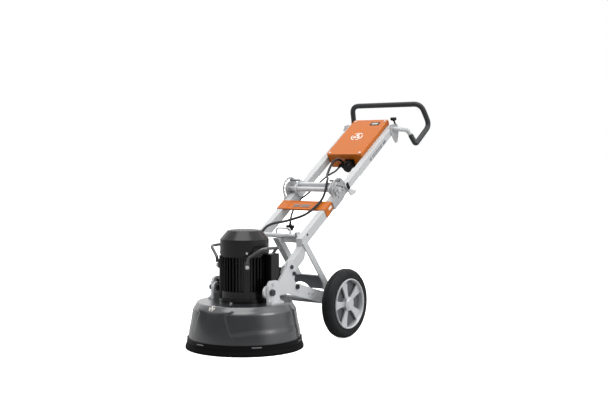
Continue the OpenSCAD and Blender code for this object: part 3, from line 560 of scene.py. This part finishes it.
def build_skirt():
    """The rubber flare, the band that clamps it and the band's clips."""
    flare = [(236, 0.5), (237, 0), (244.4, 0), (245, 0.8), (245, 7), (244.5, 9.5), (242.5, 13), (239.2, 23),
             (238.4, 27.5), (232.9, 27.5), (235, 14)]
    ribbed = lathe("flare", flare, 360)
    piece("skirt_flare", ribbed, "rubber", "dust_skirt", Matrix.Translation(spot(0, 0, 0)),
          replaces=["dust_skirt"])
    band = [(232.9, 28), (238.3, 28), (238.6, 29), (238.2, 30.5), (237.4, 31), (237.2, 41), (237.6, 42),
            (237.4, 43.6), (236.6, 44), (232.9, 44)]
    piece("skirt_band", lathe("band", band, 288), "band", "dust_skirt",
          Matrix.Translation(spot(0, 0, 0)))
    clip = prism("clip", round_rect(40, 4.4, 1.6), 1.2, 0.4)
    on_band = axes_at(Vector((236.6, 0, 36)) * MM, (0, 1, 0), (1, 0, 0))
    clips = [(clip, Matrix.Rotation(math.radians(t), 4, "Z") @ on_band) for t in range(21, 360, 60)]
    piece("skirt_clips", joined("clips", clips), "steel", "dust_skirt",
          Matrix.Translation(spot(0, 0, 0)))


build_skirt()

# ------------------------------------------------------------------ handle, grip and lifting bars


def rounded_corners(points, trims, steps=8):
    """The path with its corners rounded by a parabola that starts trims mm before each one."""
    path = []
    for i, p in enumerate(points):
        p = Vector(p)
        if not trims[i]:
            path.append(p)
            continue
        a = p + (Vector(points[i - 1]) - p).normalized() * trims[i]
        b = p + (Vector(points[i + 1]) - p).normalized() * trims[i]
        for k in range(steps + 1):
            t = k / steps
            path.append((1 - t) ** 2 * a + 2 * t * (1 - t) * p + t * t * b)
    return path


BOW_HALF = [(100, 962, 918), (148, 962, 918), (168, 1036, 915), (181, 1040, 891), (206, 1047, 846),
            (220, 1156, 940), (200, 1106, 1042), (0, 1106, 1042)]
BOW_TRIMS = [0, 13.5, 20, 0, 14, 34, 40, 0]
GRIP_START = 19
BAR_RADIUS, GRIP_RADIUS = 11, 12.8
GRIP_LIP, LIP_SHARE = 1.8, 0.006


def row_path(points):
    """Layout points in the row frame."""
    return [spot(*p) for p in points]


def build_handle():
    """The bow tube and the sleeve on its crossbar."""
    half = rounded_corners(BOW_HALF, BOW_TRIMS)
    full = half + [Vector((-p.x, p.y, p.z)) for p in reversed(half[:-1])]
    piece("bow_tube", tube("bow", row_path(full), BAR_RADIUS * MM, 28), "rail", "handle",
          replaces=["handle_bar"])
    sleeve = full[GRIP_START:len(full) - GRIP_START]

    def girth(share):
        lip = 1 - smoothstep(0, LIP_SHARE, min(share, 1 - share))
        return (GRIP_RADIUS - GRIP_LIP * lip) * MM

    piece("grip_sleeve", tube("sleeve", evenly(row_path(sleeve)), girth, 32), "grip", "handle",
          replaces=["handle_grip"])


build_handle()

LIFT_PATH = [(80, -80, 352), (80, -80, 374), (138, -52, 415), (152, 40, 415), (90, 98, 404), (80, 80, 374),
             (80, 80, 352)]
LIFT_TRIMS = [0, 14, 22, 26, 14, 10, 0]


def build_lifting_bars():
    """A bent bar over each side of the motor, with its two feet."""
    parts = []
    out = axes_at(Vector((104, 0, 347)) * MM, UP, (1, 0, 0))
    for side in (1, -1):
        path = rounded_corners([(side * x, y, z) for x, y, z in LIFT_PATH], LIFT_TRIMS)
        parts.append((tube("bar", row_path(path), 6.5 * MM, 24), Matrix()))
        for turn in (-45, 45):
            foot = prism("foot", round_rect(38, 20, 3), 7, 0.8)
            place = Matrix.Rotation(math.radians(turn + (180 if side < 0 else 0)), 4, "Z")
            parts.append((foot, Matrix.Translation(spot(0, 0, 0)) @ place @ out))
    piece("lifting_bars", joined("bars", parts), "shroud", "head",
          replaces=["lifting_handles"])


build_lifting_bars()

# ------------------------------------------------------------------ marks on the covers


def flat(name, outlines, thick, look, body, place, edge=0.0):
    """Thin flat shapes side by side in one plane."""
    plates = [(prism(name, outline, thick, edge), Matrix.Translation(Vector((x * MM, y * MM, 0))))
              for outline, x, y in outlines]
    return piece(name, joined(name, plates), look, body, place)


def ring_outline(radius, width, start, end, steps=28):
    """Outline of a ring's stretch between two angles in degrees."""
    turns = [math.radians(start + (end - start) * k / steps) for k in range(steps + 1)]
    outer = [(radius * math.cos(a), radius * math.sin(a)) for a in turns]
    inner = [((radius - width) * math.cos(a), (radius - width) * math.sin(a)) for a in reversed(turns)]
    return outer + inner


def emblem(size):
    """Three discs inside an open ring, for a machine with three grinding discs."""
    arcs = [(ring_outline(size / 2, size * 0.09, turn + 12, turn + 108), 0, 0) for turn in (30, 150, 270)]
    turns = [math.radians(t) for t in (90, 210, 330)]
    discs = [(circle(size * 0.13, 32), size * 0.19 * math.cos(a), size * 0.19 * math.sin(a)) for a in turns]
    return arcs + discs


flat("lid_emblem", emblem(62), 0.3, "print_white", "upper_frame", rail_frame(-5, 471, LID_N))
BAR_SET = [(round_rect(34, 9, 1.5), -36, 4), (round_rect(46, 9, 1.5), 12, 4),
           (round_rect(28, 5, 1.5), -39, -7), (round_rect(52, 5, 1.5), 9, -7)]
STRIPES = [(round_rect(16, 16, 4), -76, 0), (round_rect(104, 6, 2), -8, 4),
           (round_rect(104, 5, 2), -8, -5), (round_rect(30, 14, 3), 66, 0)]
flat("cover_bars", BAR_SET, 0.3, "print_grey", "chassis", rail_frame(2, -74, 11))
flat("rail_stripe", STRIPES, 0.3, "print_grey", "upper_frame",
     axes_at(rail_spot(UPPER_OUT, 414, -22), RAIL_ALONG, RIGHT))
flat("box_label", [(round_rect(50, 15, 1.5), 0, 0)], 0.3, "print_label", "upper_frame",
     axes_at(rail_spot(-30, BOX_START + 2, -11), RIGHT, -RAIL_ALONG))
flat("plate_label", [(round_rect(24, 12, 1), 0, 0)], 0.3, "print_white", "chassis",
     axes_at(rail_spot(RAIL_OUT + 3, -60, -6), RAIL_ALONG, RIGHT))
DISPLAY_X, DISPLAY_S = 39, 581
display = joined("display", [
    (prism("frame", round_rect(51.5, 27.5, 2), 1.6, 0.4), Matrix()),
    (prism("lip", round_rect(46, 22, 1.5), 0.4, 0.2), Matrix.Translation(Vector((0, 0, 0.0016))))])
piece("display_frame", display, "black_plastic", "upper_frame",
      rail_frame(DISPLAY_X, DISPLAY_S, LID_N - 1.5))
piece("display_glass", prism("glass", round_rect(40, 16, 1), 0.5, 0.1), "glass", "upper_frame",
      rail_frame(DISPLAY_X, DISPLAY_S, LID_N + 0.4))
flat("display_digits", [(round_rect(5, 10, 1), x, 0) for x in (-12, -4, 4, 12)], 0.2, "print_white",
     "upper_frame", rail_frame(DISPLAY_X, DISPLAY_S, LID_N + 0.8))


def profile_at(way):
    """Point and outward normal of the shroud's curve, so many mm down it from the flat top's edge."""
    points = [Vector(p) for p in SHROUD_CURVE if p[0] >= 188]
    for a, b in zip(points, points[1:]):
        step = (b - a).length
        if way <= step or b is points[-1]:
            return a + (b - a) * (way / step), Vector((a.y - b.y, b.x - a.x)).normalized()
        way -= step


def build_shroud_emblem(size, middle_way):
    """The emblem bent round the front of the shroud's shoulder."""
    bm = bmesh.new()
    bm.from_mesh(joined("emblem", [(prism("mark", outline, 0.5), Matrix.Translation((x * MM, y * MM, 0)))
                                   for outline, x, y in emblem(size)]))
    for k in range(-8, 9):
        bmesh.ops.bisect_plane(bm, geom=bm.verts[:] + bm.edges[:] + bm.faces[:],
                               plane_co=(0, k * 0.0016, 0), plane_no=(0, 1, 0))
    for vert in bm.verts:
        point, normal = profile_at(middle_way - vert.co.y / MM)
        point += normal * (vert.co.z / MM - 0.1)
        turn = vert.co.x / MM / point.x
        vert.co = Vector((point.x * math.sin(turn), -point.x * math.cos(turn), point.y)) * MM
    piece("shroud_emblem", finished("shroud_emblem", bm), "print_white", "head",
          Matrix.Translation(spot(0, 0, 0)))


build_shroud_emblem(29, 18)

# ------------------------------------------------------------------ wheel trim


def build_wheel_trim(side, body):
    """Web plate behind the spokes, dark grey as painted shade of the recess, with bead ring, hub cap and
    valve of one wheel.
    """
    def inside(depth):
        """Place on the axle so many mm in from the tyre's outer side, z outward."""
        return axes_at(spot(side * (WHEEL_OUT - depth), AXLE_Y, AXLE_Z), UP, (side, 0, 0))

    painted_shade_web = lathe("painted_shade_web", [(27, 0), (101.4, 0), (101.4, 0.5), (27, 0.5)], 96)
    bead = lathe("bead", [(102.5, -0.5), (106.5, 0.8), (107.5, 1.6), (106.8, 2.4), (105, 2.6), (103, 0.9)],
                 128)
    cap = lathe("cap", [(0, 0), (17, 0), (20.6, 0), (20.2, 2.2), (18, 3.0), (11, 3.4), (0, 3.4)], 64)
    stem = tube("stem", [Vector((84, 12, -4)) * MM, Vector((88, 13, 4)) * MM, Vector((90.5, 13.5, 8)) * MM],
                2.6 * MM, 16)
    piece("wheel_web_painted_shade_" + body, painted_shade_web, "painted_shade_web", body, inside(25.8))
    piece("rim_bead_" + body, bead, "plate", body, inside(3))
    piece("hub_cap_" + body, cap, "plate", body, inside(3.5))
    piece("valve_" + body, stem, "black_plastic", body, inside(20))


build_wheel_trim(1, "wheel_right")
build_wheel_trim(-1, "wheel_left")

# ------------------------------------------------------------------ frame trim


def block(name, size, look, body, place, edge=0.8):
    """A block with rounded corners, standing on its place."""
    wide, deep, high = size
    return piece(name, prism(name, round_rect(wide, deep, min(wide, deep) * 0.2), high, edge), look, body,
                 place)


def screw_head(radius, high):
    """Button head with a round socket."""
    socket = high * 0.45
    return lathe("screw", [(0, socket), (radius * 0.4, socket), (radius * 0.42, high * 0.97),
                           (radius * 0.6, high), (radius * 0.86, high * 0.84), (radius, socket), (radius, 0),
                           (0, 0)], 36)


def screws(name, places, radius, high, look, body):
    """Screw heads at their places, as one piece."""
    heads = [(screw_head(radius, high), place) for place in places]
    return piece(name, joined(name, heads), look, body)


screws("rail_plugs", [axes_at(rail_spot(RAIL_OUT, -258, -2), RAIL_ALONG, RIGHT)], 5, 1.2,
       "black_plastic", "chassis")
screws("cover_screws", [axes_at(rail_spot(side * (RAIL_OUT + 3), -62, -22), RAIL_ALONG, (side, 0, 0))
                        for side in (-1, 1)], 4.5, 2.6, "steel", "chassis")


def bar_between(start, end, width):
    """Outline of a straight bar between two points."""
    a, b = Vector(start), Vector(end)
    side = (b - a).orthogonal().normalized() * width / 2
    return [tuple(corner) for corner in (a + side, a - side, b - side, b + side)]


# Thin black sheets on the fold plates for the slots, holes and the arc gap: painted shade in place of the
# shadowed insides of real openings.
FOLD_SLOT_SHADES = [(bar_between((-8, 30), (24, 2), 3), 0, 0), (bar_between((-30, 9), (-14, 3), 2.2), 0, 0),
              (bar_between((14, -12), (27, -24), 2.2), 0, 0), (ring_outline(33, 3, 165, 200), 0, 0),
              (circle(4.4, 24), 27, -4), (circle(3, 24), -22, -24)]
for side, label in ((1, "right"), (-1, "left")):
    slot_shades = [([(side * x, y) for x, y in outline], side * at_x, at_y) for outline, at_x, at_y in FOLD_SLOT_SHADES]
    flat("fold_slot_shades_" + label, slot_shades, 0.3, "black_plastic", "chassis",
         axes_at(rail_spot(side * (RAIL_OUT + 7), FOLD_S, FOLD_N), RAIL_ALONG * side, (side, 0, 0)))
block("ear_buffer", (26, 20, 16), "rubber", "head", axes_at(spot(-141.5, -8, 258), UP, RIGHT), 2)
block("wedge", (34, 16, 4), "black_plastic", "lock_lever",
      axes_at(rail_spot(144, 93, 2), RAIL_FACE, RIGHT), 1)

# ------------------------------------------------------------------ stage

FLOOR_HALF = 30


def build_floor():
    """A white floor, brighter to the camera than the light it gives back to the machine."""
    corners = [(x * FLOOR_HALF, y * FLOOR_HALF, 0) for x, y in ((-1, -1), (1, -1), (1, 1), (-1, 1))]
    mesh = mesh_of("floor", corners, [(0, 1, 2, 3)])
    floor = bpy.data.objects.new("floor", mesh)
    look = surface("floor_white", linear(240, 240, 240), 0.8, tone=0.004, gloss=0.1)
    links = look.node_tree.links
    shader = look.node_tree.nodes["Principled BSDF"]
    shader.inputs["Emission Color"].default_value = (1, 1, 1, 1)
    seen = add(look.node_tree.nodes, "LightPath").outputs["Is Camera Ray"]
    links.new(spread(look, seen, 0, 1, 0, 0.8), shader.inputs["Emission Strength"])
    paint = shader.inputs["Base Color"].links[0].from_socket
    links.new(mix(look, seen, linear(170, 170, 170), paint), shader.inputs["Base Color"])
    mesh.materials.append(look)
    bpy.context.scene.collection.objects.link(floor)


def build_world():
    """White as the camera sees it; it lights the scene like a studio, bright overhead and behind."""
    world = bpy.data.worlds.new("studio")
    world.use_nodes = True
    nodes, links = world.node_tree.nodes, world.node_tree.links
    sky = nodes["Background"]
    coords = add(nodes, "TexCoord")
    parts = add(nodes, "SeparateXYZ")
    links.new(coords.outputs["Generated"], parts.inputs[0])
    total = spread(world, parts.outputs["Z"], 0.1, 0.9, 0.05, 1.05)
    for way, low, high, bright in (((-0.59, 0.8, 0.1), 0.25, 0.9, 0.85),
                                   ((0.87, 0.35, 0.35), 0.7, 0.95, 0.8)):
        toward = add(nodes, "VectorMath", operation="DOT_PRODUCT")
        toward.inputs[1].default_value = way
        links.new(coords.outputs["Generated"], toward.inputs[0])
        light = spread(world, toward.outputs["Value"], low, high, 0, bright, interpolation_type="SMOOTHSTEP")
        both = add(nodes, "Math", operation="ADD")
        links.new(total, both.inputs[0])
        links.new(light, both.inputs[1])
        total = both.outputs["Value"]
    links.new(total, sky.inputs["Strength"])
    white = add(nodes, "Background")
    white.inputs["Strength"].default_value = 1.0
    rays = add(nodes, "LightPath")
    choose = add(nodes, "MixShader")
    links.new(rays.outputs["Is Camera Ray"], choose.inputs[0])
    for background, socket in ((sky, 1), (white, 2)):
        background.inputs["Color"].default_value = (1, 1, 1, 1)
        links.new(background.outputs[0], choose.inputs[socket])
    links.new(choose.outputs[0], nodes["World Output"].inputs["Surface"])
    bpy.context.scene.world = world


def sun(name, way, strength, spread_angle):
    """A wide soft light that shines from a direction."""
    light = bpy.data.lights.new(name, "SUN")
    light.energy = strength
    light.angle = math.radians(spread_angle)
    obj = bpy.data.objects.new(name, light)
    obj.rotation_euler = Vector(way).to_track_quat("Z", "Y").to_euler()
    bpy.context.scene.collection.objects.link(obj)


build_floor()
build_world()
sun("top", (0.1, -0.3, 1), 1.4, 50)
sun("side", (1, 0.15, 0.6), 0.75, 30)
sun("front", (-0.7, -0.8, 0.6), 0.2, 40)
bpy.context.scene.view_settings.view_transform = "Standard"
